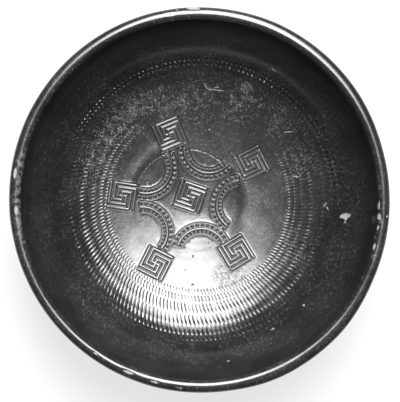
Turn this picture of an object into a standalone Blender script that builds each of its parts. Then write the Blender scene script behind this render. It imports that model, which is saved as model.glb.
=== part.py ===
"""Wheel-thrown black-gloss bowl on a ring foot.

Six meander squares and five beaded arcs are stamped into its floor.
Metres, +Z up. The origin is on the wheel axis, in the plane that the foot stands on.
"""

from math import atan2, cos, degrees, hypot, pi, radians, sin, sqrt

import bmesh
import bpy
from mathutils import Matrix

# Overall sizes
RIM_DIAMETER = 0.170
HEIGHT = 0.058
OUT_OF_ROUND = 0.0012
LONG_AXIS_BEARING = 103.5

# Wall, lip and floor
LIP_WIDTH = 0.0056
LIP_HEIGHT = 0.0026
LIP_CROWN_INSET = 0.0026
WALL_AT_FOOT = 0.0062
FLOOR_THICKNESS = 0.0066
WALL_SQUARENESS = 3.4

# Ring foot
FOOT_RADIUS = 0.0420
FOOT_LEAN = 0.0014
FOOT_REST_WIDTH = 0.0036
FOOT_CHAMFER = 0.0008
FOOT_RECESS = 0.0058
RECESS_LEAN = 0.0020
RECESS_FILLET = 0.0012
UNDERSIDE_DROP = 0.0008

# Stamped meander square: centre lines on a square grid of this pitch
MEANDER_PITCH = 0.00190
MEANDER_CELLS = 6
MEANDER_RIDGE = 0.00092
MEANDER_MARGIN = 0.00044
MEANDER_PRESS = 0.00055

# Stamped beaded arc: the radius is that of its convex edge
ARC_RADIUS = 0.0145
ARC_WIDTH = 0.0056
ARC_SPAN = 143.0
ARC_END_DEPTH = 0.0012
ARC_PRESS = 0.00055
BEADS_PER_ROW = 14
BEAD_TAPER = 0.6
OUTER_BEAD_INSET = 0.00125
OUTER_BEAD_RADIUS = 0.00078
INNER_BEAD_INSET = 0.00430
INNER_BEAD_RADIUS = 0.00062
RIB_INSET = 0.00305
RIB_WIDTH = 0.00100

# How far the tops of the relief lie below the floor around a stamp, how deep they are rooted,
# and how far a pressing tool stands above the floor
RELIEF_SINK = 0.00006
RELIEF_ROOT = 0.00030
TOOL_HEIGHT = 0.00200

# Mesh fineness
WHEEL_SEGMENTS = 64
INNER_STEPS = 14
OUTER_STEPS = 9
LIP_STEPS = 4
ARC_STEPS = 11
CAP_STEPS = 3
BEAD_SIDES = 4
TANGENT_STEP = 0.001
SEARCH_STEPS = 50

# Where each square was stamped: distance right of and above the axis, and its turn in degrees
SQUARE_STAMPS = {
    "upper": (-0.0133, 0.0303, 23.0),
    "right": (0.0245, 0.0168, 27.0),
    "left": (-0.0351, 0.0018, -8.5),
    "middle": (-0.0038, 0.0014, -19.0),
    "lower_left": (-0.0198, -0.0292, -26.6),
    "lower_right": (0.0173, -0.0243, 31.0),
}

# Where each arc was stamped: the centre of its curve, and the bearing of its middle from there
ARC_STAMPS = {
    "upper": (0.0049, 0.0238, -111.5),
    "left": (-0.0240, 0.0144, -37.0),
    "lower_left": (-0.0257, -0.0148, 27.0),
    "right": (0.0199, -0.0026, 166.0),
    "lower": (0.0013, -0.0247, 92.5),
}

# The four equal arms of the meander, from the middle of the square outwards, in grid steps
MEANDER_ARM = ((3, 3), (4, 3), (4, 5), (0, 5), (0, 0))

# Derived sizes
OUTER_RADIUS = RIM_DIAMETER / 2
INNER_RADIUS = OUTER_RADIUS - LIP_WIDTH
FLOOR_LEVEL = FOOT_RECESS + FLOOR_THICKNESS
LIP_LEVEL = HEIGHT - LIP_HEIGHT
WALL_RISE = LIP_LEVEL - FLOOR_LEVEL


def clear_scene():
    for old in list(bpy.data.objects):
        bpy.data.objects.remove(old, do_unlink=True)


def principled(name, colour, roughness):
    material = bpy.data.materials.new(name)
    material.use_nodes = True
    shader = material.node_tree.nodes["Principled BSDF"]
    shader.inputs["Base Color"].default_value = (*colour, 1.0)
    shader.inputs["Roughness"].default_value = roughness
    shader.inputs["Metallic"].default_value = 0.0
    return material


def inner_height(radius):
    """Height of the inside surface: nearly flat in the middle, steep at the wall."""
    share = min(radius / INNER_RADIUS, 1.0) ** WALL_SQUARENESS
    return LIP_LEVEL - WALL_RISE * sqrt(1.0 - share)


def inner_slope(radius):
    """Rise of the inside surface for each metre outwards."""
    share = (radius / INNER_RADIUS) ** WALL_SQUARENESS
    steepness = WALL_RISE * WALL_SQUARENESS / (2.0 * INNER_RADIUS)
    return steepness * share * INNER_RADIUS / radius / sqrt(1.0 - share) if radius else 0.0


def inner_point(turn):
    """Inside profile point for a turn from 0 on the axis to a right angle at the lip."""
    return INNER_RADIUS * sin(turn) ** (2.0 / WALL_SQUARENESS), LIP_LEVEL - WALL_RISE * cos(turn)


def outer_point(turn):
    """Outside profile point, one wall thickness away from the inside."""
    radius, height = inner_point(turn)
    before = inner_point(turn - TANGENT_STEP)
    along = (radius - before[0], height - before[1])
    length = hypot(*along)
    wall = LIP_WIDTH + (WALL_AT_FOOT - LIP_WIDTH) * cos(turn)
    return radius + wall * along[1] / length, height - wall * along[0] / length


def turn_at_foot(neck_radius):
    """Turn at which the outside of the wall meets the neck of the foot."""
    low = radians(2.0)
    high = radians(90.0)
    for _ in range(SEARCH_STEPS):
        middle = (low + high) / 2
        if outer_point(middle)[0] < neck_radius:
            low = middle
        else:
            high = middle
    return high


def foot_profile():
    """Underside and ring foot, from the axis outwards."""
    rest_outer = FOOT_RADIUS - FOOT_CHAMFER
    rest_inner = rest_outer - FOOT_REST_WIDTH
    recess_edge = rest_inner - FOOT_CHAMFER
    recess_top = recess_edge - RECESS_LEAN
    return [
        (0.0, FOOT_RECESS - UNDERSIDE_DROP),
        (recess_top / 2, FOOT_RECESS - UNDERSIDE_DROP / 4),
        (recess_top - RECESS_FILLET, FOOT_RECESS),
        (recess_top, FOOT_RECESS - RECESS_FILLET),
        (recess_edge, FOOT_CHAMFER),
        (rest_inner, 0.0),
        (rest_outer, 0.0),
        (FOOT_RADIUS, FOOT_CHAMFER),
    ]


def lip_profile():
    """Rounded lip from its widest point over the crown, stopping short of the inside wall."""
    crown = INNER_RADIUS + LIP_CROWN_INSET
    points = []
    for step in range(1, 2 * LIP_STEPS):
        angle = pi / 2 * step / LIP_STEPS
        reach = OUTER_RADIUS - crown if angle < pi / 2 else crown - INNER_RADIUS
        points.append((crown + reach * cos(angle), LIP_LEVEL + LIP_HEIGHT * sin(angle)))
    return points


def bowl_profile():
    """Closed half section, from the axis below to the axis above."""
    start = turn_at_foot(FOOT_RADIUS - FOOT_LEAN)
    outside = [outer_point(start + (pi / 2 - start) * step / OUTER_STEPS) for step in range(OUTER_STEPS + 1)]
    inside = [inner_point(pi / 2 * step / INNER_STEPS) for step in range(INNER_STEPS, -1, -1)]
    return foot_profile() + outside + lip_profile() + inside


def warped(radius, bearing):
    """Radius after the rim sagged slightly out of round."""
    share = (radius / OUTER_RADIUS) ** 4
    return radius + OUT_OF_ROUND / 2 * share * cos(2 * (bearing - radians(LONG_AXIS_BEARING)))


def turned_body():
    """The plain bowl, turned about +Z."""
    mesh = bmesh.new()
    profile = bowl_profile()
    bottom = mesh.verts.new((0.0, 0.0, profile[0][1]))
    top = mesh.verts.new((0.0, 0.0, profile[-1][1]))
    rings = []
    for radius, height in profile[1:-1]:
        ring = []
        for index in range(WHEEL_SEGMENTS):
            bearing = 2 * pi * (index + 0.5) / WHEEL_SEGMENTS
            reach = warped(radius, bearing)
            ring.append(mesh.verts.new((reach * cos(bearing), reach * sin(bearing), height)))
        rings.append(ring)
    for index in range(WHEEL_SEGMENTS):
        after = (index + 1) % WHEEL_SEGMENTS
        mesh.faces.new((bottom, rings[0][after], rings[0][index]))
        mesh.faces.new((top, rings[-1][index], rings[-1][after]))
        for inner, outer in zip(rings, rings[1:]):
            mesh.faces.new((inner[index], inner[after], outer[after], outer[index]))
    bmesh.ops.recalc_face_normals(mesh, faces=mesh.faces)
    return mesh


def seat(x, y, turn):
    """Placement of a stamp on the dished floor: its own Z is the floor's normal there."""
    radius = hypot(x, y)
    bearing = degrees(atan2(y, x))
    lean = atan2(inner_slope(radius), 1.0)
    tip = Matrix.Rotation(-lean, 4, "Y")
    swing = Matrix.Rotation(radians(bearing), 4, "Z")
    spin = Matrix.Rotation(radians(turn - bearing), 4, "Z")
    return Matrix.Translation((x, y, inner_height(radius))) @ swing @ tip @ spin


def prism(mesh, outline, low, high, taper=1.0, centre=(0.0, 0.0)):
    """Add a prism on an anticlockwise outline; taper draws its upper face in to the centre."""
    lower = [mesh.verts.new((x, y, low)) for x, y in outline]
    upper = []
    for x, y in outline:
        drawn = (centre[0] + (x - centre[0]) * taper, centre[1] + (y - centre[1]) * taper)
        upper.append(mesh.verts.new((*drawn, high)))
    mesh.faces.new(lower[::-1])
    mesh.faces.new(upper)
    for index in range(len(outline)):
        after = (index + 1) % len(outline)
        mesh.faces.new((lower[index], lower[after], upper[after], upper[index]))


def heading(start, end):
    """Unit vector from one point to another."""
    length = hypot(end[0] - start[0], end[1] - start[1])
    return (end[0] - start[0]) / length, (end[1] - start[1]) / length


def arm_outline(half):
    """One arm of the meander as a band of the given half width, from the middle outwards."""
    middle = MEANDER_CELLS / 2
    path = [((column - middle) * MEANDER_PITCH, (middle - row) * MEANDER_PITCH) for column, row in MEANDER_ARM]
    runs = [heading(start, end) for start, end in zip(path, path[1:])]
    left_side = []
    right_side = []
    for index, (x, y) in enumerate(path):
        come = runs[max(index - 1, 0)]
        leave = runs[min(index, len(runs) - 1)]
        side = (-(come[1] + leave[1]), come[0] + leave[0])
        scale = half / (side[1] * come[0] - side[0] * come[1])
        if index == len(path) - 1:
            x += half * come[0]
            y += half * come[1]
        left_side.append((x + side[0] * scale, y + side[1] * scale))
        right_side.append((x - side[0] * scale, y - side[1] * scale))
    return right_side + left_side[::-1]


def turned_outline(outline, quarter):
    for _ in range(quarter):
        outline = [(-y, x) for x, y in outline]
    return outline


def pinwheel_outline():
    """All four arms of the meander as one outline around the middle of the square.

    Each arm's band loses its inner end, which lies in the square where the arms meet.
    """
    band = arm_outline(MEANDER_RIDGE / 2)
    half = MEANDER_RIDGE / 2
    arm = [(half, -half)] + band[1:-1] + [(half, half)]
    outline = []
    for quarter in range(4):
        outline += turned_outline(arm[:-1], quarter)
    return outline


def band_point(radius, bearing):
    return radius * cos(bearing), radius * sin(bearing)


def arc_outline(inset, width, span):
    """Banana shape about the arc's centre, its middle on the X axis, with bulging ends."""
    centre_radius = ARC_RADIUS - inset
    depth = min(width / 2, ARC_END_DEPTH)
    reach = radians(span) / 2 - depth / centre_radius
    outline = []
    for step in range(ARC_STEPS + 1):
        outline.append(band_point(centre_radius + width / 2, -reach + 2 * reach * step / ARC_STEPS))
    outline += end_cap(centre_radius, width / 2, depth, reach)
    for step in range(ARC_STEPS, -1, -1):
        outline.append(band_point(centre_radius - width / 2, -reach + 2 * reach * step / ARC_STEPS))
    outline += end_cap(centre_radius, -width / 2, -depth, -reach)
    return outline


def end_cap(centre_radius, half, depth, bearing):
    """Points of the bulging end at a bearing, from one edge of the band to the other."""
    x, y = band_point(centre_radius, bearing)
    points = []
    for step in range(1, CAP_STEPS):
        angle = pi * step / CAP_STEPS
        out = half * cos(angle)
        along = depth * sin(angle)
        points.append((x + out * cos(bearing) - along * sin(bearing), y + out * sin(bearing) + along * cos(bearing)))
    return points


def add_placed(mesh, piece, matrix):
    """Move one stamp's mesh to its place and add it to a mesh that holds several."""
    piece.transform(matrix)
    moved = {vert: mesh.verts.new(vert.co) for vert in piece.verts}
    for face in piece.faces:
        mesh.faces.new([moved[vert] for vert in face.verts])
    piece.free()


def finished(mesh, name):
    """A wire-framed helper object from a bmesh."""
    bmesh.ops.recalc_face_normals(mesh, faces=mesh.faces)
    data = bpy.data.meshes.new(name)
    mesh.to_mesh(data)
    mesh.free()
    helper = bpy.data.objects.new(name, data)
    bpy.context.scene.collection.objects.link(helper)
    helper.hide_render = True
    helper.display_type = "WIRE"
    return helper


def square_press():
    """The sunken field of one meander square."""
    half = MEANDER_CELLS / 2 * MEANDER_PITCH + MEANDER_RIDGE / 2 + MEANDER_MARGIN
    mesh = bmesh.new()
    prism(mesh, [(-half, -half), (half, -half), (half, half), (-half, half)], -MEANDER_PRESS, TOOL_HEIGHT)
    return mesh


def square_relief():
    """The raised meander that stands in the sunken field."""
    mesh = bmesh.new()
    prism(mesh, pinwheel_outline(), -MEANDER_PRESS - RELIEF_ROOT, -RELIEF_SINK)
    return mesh


def arc_press():
    """The sunken field of one beaded arc."""
    mesh = bmesh.new()
    prism(mesh, arc_outline(ARC_WIDTH / 2, ARC_WIDTH, ARC_SPAN), -ARC_PRESS, TOOL_HEIGHT)
    return mesh


def bead_row(mesh, inset, size):
    """A row of four-sided beads that follows the arc."""
    row_radius = ARC_RADIUS - inset
    for index in range(BEADS_PER_ROW):
        bearing = radians(ARC_SPAN) * ((index + 0.5) / BEADS_PER_ROW - 0.5)
        centre = band_point(row_radius, bearing)
        corners = []
        for corner in range(BEAD_SIDES):
            angle = bearing + 2 * pi * (corner + 0.5) / BEAD_SIDES
            corners.append((centre[0] + size * cos(angle), centre[1] + size * sin(angle)))
        prism(mesh, corners, -ARC_PRESS - RELIEF_ROOT, -RELIEF_SINK, BEAD_TAPER, centre)


def arc_relief():
    """The rib and the two rows of beads that stand in the sunken field."""
    mesh = bmesh.new()
    rib_span = ARC_SPAN - degrees(2 * RIB_WIDTH / ARC_RADIUS)
    prism(mesh, arc_outline(RIB_INSET, RIB_WIDTH, rib_span), -ARC_PRESS - RELIEF_ROOT, -RELIEF_SINK)
    bead_row(mesh, OUTER_BEAD_INSET, OUTER_BEAD_RADIUS)
    bead_row(mesh, INNER_BEAD_INSET, INNER_BEAD_RADIUS)
    return mesh


def arc_seat(x, y, bearing):
    """Placement of an arc: seated where the middle of its band lies on the floor."""
    lead = ARC_RADIUS - ARC_WIDTH / 2
    middle_x = x + lead * cos(radians(bearing))
    middle_y = y + lead * sin(radians(bearing))
    return seat(middle_x, middle_y, bearing) @ Matrix.Translation((-lead, 0.0, 0.0))


def stamp(bowl, name, operation, make_piece, seats):
    """Cut from the bowl, or join to it, one piece of a kind in each of its places."""
    mesh = bmesh.new()
    for matrix in seats:
        add_placed(mesh, make_piece(), matrix)
    modifier = bowl.modifiers.new(name, "BOOLEAN")
    modifier.operation = operation
    modifier.solver = "EXACT"
    modifier.use_self = True
    modifier.object = finished(mesh, name)


def make_bowl():
    mesh = turned_body()
    data = bpy.data.meshes.new("bowl")
    mesh.to_mesh(data)
    mesh.free()
    data.materials.append(principled("black_gloss", (0.020, 0.020, 0.021), 0.25))
    data.shade_smooth()
    data.set_sharp_from_angle(angle=radians(35.0))
    bowl = bpy.data.objects.new("bowl", data)
    bpy.context.scene.collection.objects.link(bowl)
    arc_seats = [arc_seat(*place) for place in ARC_STAMPS.values()]
    square_seats = [seat(*place) for place in SQUARE_STAMPS.values()]
    stamp(bowl, "press_arcs", "DIFFERENCE", arc_press, arc_seats)
    stamp(bowl, "raise_arcs", "UNION", arc_relief, arc_seats)
    stamp(bowl, "press_squares", "DIFFERENCE", square_press, square_seats)
    stamp(bowl, "raise_squares", "UNION", square_relief, square_seats)


clear_scene()
make_bowl()
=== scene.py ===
"""Looks of the black-gloss bowl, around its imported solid.

The bowl is one closed mesh: a stamped and rouletted floor, then wall, lip, outside and ring foot.
Metres, +Z up. Seen from above, +X is right and +Y is up; bearings run anticlockwise from +X, in degrees.
"""

from math import cos, hypot, pi, radians, sin, tan

import bpy
import numpy as np
from mathutils import Matrix, Vector
from mathutils.geometry import delaunay_2d_cdt


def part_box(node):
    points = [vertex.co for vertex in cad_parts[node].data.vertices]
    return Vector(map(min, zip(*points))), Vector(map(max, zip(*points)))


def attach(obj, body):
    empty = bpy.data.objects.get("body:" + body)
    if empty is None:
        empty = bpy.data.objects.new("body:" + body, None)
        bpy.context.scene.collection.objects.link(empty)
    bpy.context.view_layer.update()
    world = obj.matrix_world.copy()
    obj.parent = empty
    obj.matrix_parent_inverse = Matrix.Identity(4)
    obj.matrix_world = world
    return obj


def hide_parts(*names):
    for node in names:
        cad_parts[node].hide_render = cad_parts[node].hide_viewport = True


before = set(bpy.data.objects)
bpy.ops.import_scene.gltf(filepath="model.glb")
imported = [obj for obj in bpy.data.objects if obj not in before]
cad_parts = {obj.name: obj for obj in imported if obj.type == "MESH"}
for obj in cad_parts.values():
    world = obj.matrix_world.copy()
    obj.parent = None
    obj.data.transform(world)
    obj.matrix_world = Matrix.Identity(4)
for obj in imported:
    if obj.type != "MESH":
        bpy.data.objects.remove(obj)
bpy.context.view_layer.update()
NODE_LOW, NODE_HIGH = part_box("bowl")

# Overall sizes: the oval rim just fits inside the solid's own box
BOX_CLEARANCE = 0.00006
LONG_AXIS_BEARING = 103.5
HALF_WIDTH = (NODE_HIGH.x - NODE_LOW.x) / 2 - BOX_CLEARANCE
HALF_DEPTH = (NODE_HIGH.y - NODE_LOW.y) / 2 - BOX_CLEARANCE
OUTER_RADIUS = (HALF_WIDTH + HALF_DEPTH) / 2
OUT_OF_ROUND = (HALF_DEPTH - HALF_WIDTH) / -cos(2 * radians(LONG_AXIS_BEARING))
HEIGHT = NODE_HIGH.z - BOX_CLEARANCE

# Bulges of the hand-made rim, with how far down they fade out: bearing, half width in degrees, distance
RIM_BULGES = ((306.0, 21.0, 0.00090), (50.0, 24.0, 0.00050))
BULGE_DROP = 0.016

# Wall, lip, floor and foot, as in the solid
LIP_WIDTH = 0.0056
LIP_HEIGHT = 0.0026
LIP_CROWN_INSET = 0.0026
WALL_AT_FOOT = 0.0062
FLOOR_THICKNESS = 0.0066
WALL_SQUARENESS = 3.4
FOOT_RADIUS = 0.0420
FOOT_LEAN = 0.0014
FOOT_REST_WIDTH = 0.0036
FOOT_CHAMFER = 0.0008
FOOT_RECESS = 0.0058
RECESS_LEAN = 0.0020
RECESS_FILLET = 0.0012
UNDERSIDE_DROP = 0.0008
INNER_RADIUS = OUTER_RADIUS - LIP_WIDTH
FLOOR_LEVEL = FOOT_RECESS + FLOOR_THICKNESS
LIP_LEVEL = HEIGHT - LIP_HEIGHT
WALL_RISE = LIP_LEVEL - FLOOR_LEVEL

# Stamped meander square
MEANDER_PITCH = 0.00190
MEANDER_CELLS = 6
MEANDER_RIDGE = 0.00092
MEANDER_MARGIN = 0.00044
MEANDER_ARM = ((3, 3), (4, 3), (4, 5), (0, 5), (0, 0))
SQUARE_HALF = MEANDER_CELLS / 2 * MEANDER_PITCH + MEANDER_RIDGE / 2 + MEANDER_MARGIN

# Where the squares are stamped: x, y, turn in degrees
SQUARE_STAMPS = {
    "upper": (-0.0133, 0.0303, 23.0),
    "right": (0.0245, 0.0168, 27.0),
    "left": (-0.0351, 0.0018, -8.5),
    "middle": (-0.0038, 0.0014, -19.0),
    "lower_left": (-0.0198, -0.0292, -26.6),
    "lower_right": (0.0173, -0.0243, 31.0),
}

# Stamped beaded arc: insets are measured inwards from its convex edge
ARC_RADIUS = 0.0145
ARC_WIDTH = 0.0056
ARC_SPAN = 143.0
ARC_CORNER = 0.0012
BEADS_PER_ROW = 14
OUTER_BEAD_INSET = 0.00125
OUTER_BEAD_RADIUS = 0.00082
INNER_BEAD_INSET = 0.00430
INNER_BEAD_RADIUS = 0.00066
RIB_INSET = 0.00305
RIB_WIDTH = 0.00100

# Where the arcs are stamped: x and y of the curve's centre, bearing of the arc's middle
ARC_STAMPS = {
    "upper": (0.0049, 0.0238, -111.5),
    "left": (-0.0240, 0.0144, -37.0),
    "lower_left": (-0.0257, -0.0148, 27.0),
    "right": (0.0199, -0.0026, 166.0),
    "lower": (0.0013, -0.0247, 92.5),
}

# How deep and how far round its pattern a stamp presses, and how soft it is
STAMP_PRESS = 0.00050
STAMP_REACH = 0.00100
STAMP_EDGE = 0.00014
STAMP_SWELL = 0.00003
RELIEF_SINK = 0.00004
RIDGE_WEAR = 0.18
BEAD_ROUNDNESS = 1.2

# In widths of a stamp's soft edge: the foot of a ridge, and the swell round the stamp with its spread
RIDGE_SPAN = (-0.5, 1.3)
SWELL_AT = 2.2
SWELL_SPREAD = 1.6

# Strokes of the rouletting: the weakest and the strongest are these shares of the usual depth
STROKES = 185
STROKE_SLANT = 16.0
STROKE_HALF_SHARE = 0.24
STROKE_DEPTH = 0.000105
STROKE_WEAKEST = 0.60
STROKE_STRONGEST = 1.15

# Rows of strokes: inner edge, outer edge, length of a stroke's sloping ends, wander, bearing of the widest
# wander, phase in sixths of a stroke, depth, and how much shallower (worn) or deeper (sharp) it is at the top
ROULETTE_ROWS = (
    (0.0415, 0.0438, 0.00028, 0.0000, 0.0, 0, 0.90, -0.75),
    (0.0441, 0.0466, 0.00028, 0.0000, 0.0, 3, 1.00, -0.75),
    (0.0478, 0.0510, 0.00028, 0.0002, 210.0, 1, 1.00, -0.80),
    (0.0524, 0.0560, 0.00028, 0.0008, 210.0, 4, 1.10, -0.80),
    (0.0581, 0.0610, 0.00028, 0.0006, 150.0, 0, 1.25, -0.20),
    (0.0614, 0.0633, 0.00060, 0.0003, 150.0, 3, 1.40, 3.20),
    (0.0636, 0.0650, 0.00045, 0.0002, 270.0, 1, 1.25, 3.20),
)

# Where rows are worn or sharp, and where else the outermost one was rolled: bearing, half width in degrees
ROULETTE_WORN = (82.0, 48.0)
ROULETTE_SHARP = (78.0, 66.0)
ROULETTE_SHARP_GAIN = 2.2
OUTERMOST_ROW_REST = (305.0, 45.0)
ROULETTE_SEED = 27

# Incised guide circle, with the places where it is clearest: bearing, half width in degrees, strength
CIRCLE_X = -0.0055
CIRCLE_Y = -0.0006
CIRCLE_RADIUS = 0.0241
CIRCLE_WIDTH = 0.00030
CIRCLE_DEPTH = 0.00013
CIRCLE_WANDER = 0.00014
CIRCLE_ROUGHNESS = (5, 0.0009, 0.0030)
CIRCLE_LEAST = 0.04
CIRCLE_TOP = (75.0, 34.0, 0.30)
CIRCLE_UPPER_LEFT = (130.0, 30.0, 0.40)
CIRCLE_RAGGEDNESS = 0.35
BURR_SHARE = 0.4
BURR_OFFSET = 2.0

# Low swelling outside the circle, in bands: bearing, half width in degrees, share of the height
SWELL_RADIUS = 0.0266
SWELL_INNER_WIDTH = 0.0021
SWELL_OUTER_WIDTH = 0.0036
SWELL_HEIGHT = 0.00030
SWELL_BANDS = ((138.0, 38.0, 1.0), (-2.0, 34.0, 0.9), (205.0, 18.0, 0.4))

# Dished middle of the floor
DISH_DEPTH = 0.00130
DISH_RADIUS = 0.0205

# Unevenness of the floor and of the wall: height, then seed, shortest and longest wave
FLOOR_UNEVENNESS = ((0.000030, (11, 0.012, 0.030)), (0.000004, (12, 0.0022, 0.0050)))
WALL_UNEVENNESS = ((0.000018, (21, 0.010, 0.030)), (0.000005, (22, 0.002, 0.005)))
WALL_SINK = 2.5

# Rings left by turning
TURNING_RING_HEIGHT = 0.000006
TURNING_RING_PITCH = 0.0037
TURNING_RING_DRIFT = 1.3
TURNING_RING_DRIFT_PITCH = 0.0029

# Mesh: edges of the floor and of the rouletted band, divisions of a ring and steps of the profile
FLOOR_EDGE = 0.04395
BAND_EDGE = 0.0655
FINE_DIVISIONS = 6 * STROKES
WALL_STEPS = 13
LIP_STEPS = 16
OUTSIDE_STEPS = 15
QUARTER_BENDS = (0.0, pi / 6, pi / 3, pi / 2)
UNDERSIDE_SAG = ((0.75, 0.125), (0.5, 0.25), (0.25, 0.6))
NORMAL_STEP = 0.00003
MERGE_DISTANCE = 1e-7

# Grid lines of a square, from the middle of a ridge and outwards from the stamp's edge
RIDGE_SHOULDER = 0.00014
RIDGE_FOOT = 0.00016
SQUARE_EDGE_LINES = (-0.00010, 0.00005, 0.00020, 0.00042, 0.00070)

# Grid lines of an arc: insets at its edges, off the rib's middle and, in bead radii, off a bead's middle
ARC_CONVEX_LINES = (-0.00055, -0.00030, -0.00012, 0.00003, 0.00018)
ARC_CONCAVE_LINES = (-0.00025, -0.00008, 0.00008, 0.00025, 0.00050)
RIB_LINES = (-0.00062, -0.00045, -0.00025, 0.0, 0.00025, 0.00045)
BEAD_LINES = (-1.0, -0.8, -0.45, 0.0, 0.45, 0.8, 1.0)
BEAD_DIVISIONS = 8
ARC_END_LINES = (0.00002, 0.00018, 0.00038, 0.00065)

# Points between the stamps, and the clearances kept round stamps, floor edge and circle
FILL_STEP = 0.00105
FILL_RADIUS = 0.0407
FILL_GAP = 0.0011
STAMP_GAP = 0.00075
RING_GAP = 0.00085
EDGE_GAP = 0.00022
CIRCLE_GAP = 0.0012
CIRCLE_DIVISIONS = 330
CIRCLE_LINES = (-0.0007, -0.0003, 0.0, 0.0003, 0.0007)


def smooth(low, high, value):
    """0 below low, 1 above high, and an even curve between."""
    share = np.clip((value - low) / (high - low), 0.0, 1.0)
    return share * share * (3.0 - 2.0 * share)


def bearing_window(bearing, middle, half):
    """1 near a bearing, a half at the half width and 0 from one and a half times it; all in degrees."""
    off = np.abs((bearing - middle + 180.0) % 360.0 - 180.0)
    return 1.0 - smooth(0.5 * half, 1.5 * half, off)


def full_turn(count):
    """Even bearings all the way round, in radians."""
    return 2.0 * pi * np.arange(count) / count


def plan_point(radius, bearing):
    return radius * np.cos(bearing), radius * np.sin(bearing)


def waves(x, y, seed, shortest, longest, count=14):
    """Gentle random relief of about unit height, from waves of many directions."""
    rng = np.random.default_rng(seed)
    total = np.zeros_like(x)
    for _ in range(count):
        length = rng.uniform(shortest, longest)
        heading = rng.uniform(0.0, 2.0 * pi)
        start = rng.uniform(0.0, 2.0 * pi)
        total += np.sin(2.0 * pi / length * (x * cos(heading) + y * sin(heading)) + start)
    return total / np.sqrt(count)


# Profile of the bowl


def inner_height(radius):
    share = np.minimum(radius / INNER_RADIUS, 1.0) ** WALL_SQUARENESS
    return LIP_LEVEL - WALL_RISE * np.sqrt(1.0 - share)


def inner_slope(radius):
    share = (radius / INNER_RADIUS) ** WALL_SQUARENESS
    steepness = WALL_RISE * WALL_SQUARENESS / (2.0 * INNER_RADIUS)
    return steepness * share ** (1.0 - 1.0 / WALL_SQUARENESS) / np.sqrt(1.0 - share)


def inner_point(turn):
    return INNER_RADIUS * sin(turn) ** (2.0 / WALL_SQUARENESS), LIP_LEVEL - WALL_RISE * cos(turn)


def turn_at(radius):
    return np.arcsin((radius / INNER_RADIUS) ** (WALL_SQUARENESS / 2.0))


def outer_point(turn, step=0.001):
    """Outside profile point, one wall thickness away from the inside."""
    radius, height = inner_point(turn)
    before = inner_point(turn - step)
    along = (radius - before[0], height - before[1])
    length = hypot(*along)
    wall = LIP_WIDTH + (WALL_AT_FOOT - LIP_WIDTH) * cos(turn)
    return radius + wall * along[1] / length, height - wall * along[0] / length


def turn_at_foot(neck_radius):
    """Where the outside meets the foot's neck, found by halving."""
    low = radians(2.0)
    high = radians(90.0)
    for _ in range(50):
        middle = (low + high) / 2
        if outer_point(middle)[0] < neck_radius:
            low = middle
        else:
            high = middle
    return high


def warped(radius, bearing):
    """Radius after the rim sagged slightly out of round."""
    share = (radius / OUTER_RADIUS) ** 4
    return radius + OUT_OF_ROUND / 2 * share * np.cos(2 * (bearing - radians(LONG_AXIS_BEARING)))


def bulged(radius, height, bearing):
    """How far the outside of the lip and upper wall stands out where the rim bulges."""
    crown = INNER_RADIUS + LIP_CROWN_INSET
    share = np.clip((radius - crown) / (OUTER_RADIUS - crown), 0.0, 1.0) if height > LIP_LEVEL else 1.0
    share = share * smooth(LIP_LEVEL - BULGE_DROP, LIP_LEVEL, height)
    total = np.zeros_like(bearing)
    for middle, half, distance in RIM_BULGES:
        total += distance * bearing_window(np.degrees(bearing), middle, half)
    return total * share


# Relief of the floor: every function gives heights above the plain surface at plan points


def local_frame(x, y, centre_x, centre_y, turn):
    angle = radians(turn)
    dx = x - centre_x
    dy = y - centre_y
    return dx * cos(angle) + dy * sin(angle), dy * cos(angle) - dx * sin(angle)


def segment_distance(x, y, start, end):
    run_x = end[0] - start[0]
    run_y = end[1] - start[1]
    share = np.clip(((x - start[0]) * run_x + (y - start[1]) * run_y) / (run_x**2 + run_y**2), 0.0, 1.0)
    return np.hypot(x - start[0] - share * run_x, y - start[1] - share * run_y)


def meander_distance(u, v):
    """Distance to the centre lines of the meander's four arms."""
    middle = MEANDER_CELLS / 2
    pitch = MEANDER_PITCH
    path = [((column - middle) * pitch, (middle - row) * pitch) for column, row in MEANDER_ARM]
    nearest = np.full_like(u, np.inf)
    for _ in range(4):
        for start, end in zip(path, path[1:]):
            nearest = np.minimum(nearest, segment_distance(u, v, start, end))
        path = [(-py, px) for px, py in path]
    return nearest


def rounded_ridge(distance, half):
    """Cross-section of a worn ridge: 1 along its middle and 0 beyond its foot."""
    crown = 1.0 - RIDGE_WEAR * np.minimum(distance / half, 1.0) ** 2
    start, end = (half + share * STAMP_EDGE for share in RIDGE_SPAN)
    return crown * (1.0 - smooth(start, end, distance))


def pressed(height, outside, relief):
    """Press a stamp into a surface; outside is the distance beyond the stamp's edge."""
    inside = 1.0 - smooth(-STAMP_EDGE, STAMP_EDGE, outside)
    off = (outside - SWELL_AT * STAMP_EDGE) / (SWELL_SPREAD * STAMP_EDGE)
    swell = STAMP_SWELL * np.exp(-(off**2))
    level = -STAMP_PRESS + (STAMP_PRESS - RELIEF_SINK) * relief
    return (height + swell) * (1.0 - inside) + level * inside


def square_outside(x, y, stamp):
    """Distance beyond the pressed field, which is cut back where a corner of the meander is open."""
    u, v = local_frame(x, y, *stamp)
    field = np.maximum(np.abs(u), np.abs(v)) - SQUARE_HALF
    return np.maximum(field, meander_distance(u, v) - STAMP_REACH)


def square_relief(x, y, stamp):
    u, v = local_frame(x, y, *stamp)
    return rounded_ridge(meander_distance(u, v), MEANDER_RIDGE / 2)


def arc_frame(x, y, stamp):
    """Distance from the centre of an arc's curve, and bearing from the arc's middle in radians."""
    u, v = local_frame(x, y, *stamp)
    return np.hypot(u, v), np.arctan2(v, u)


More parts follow.
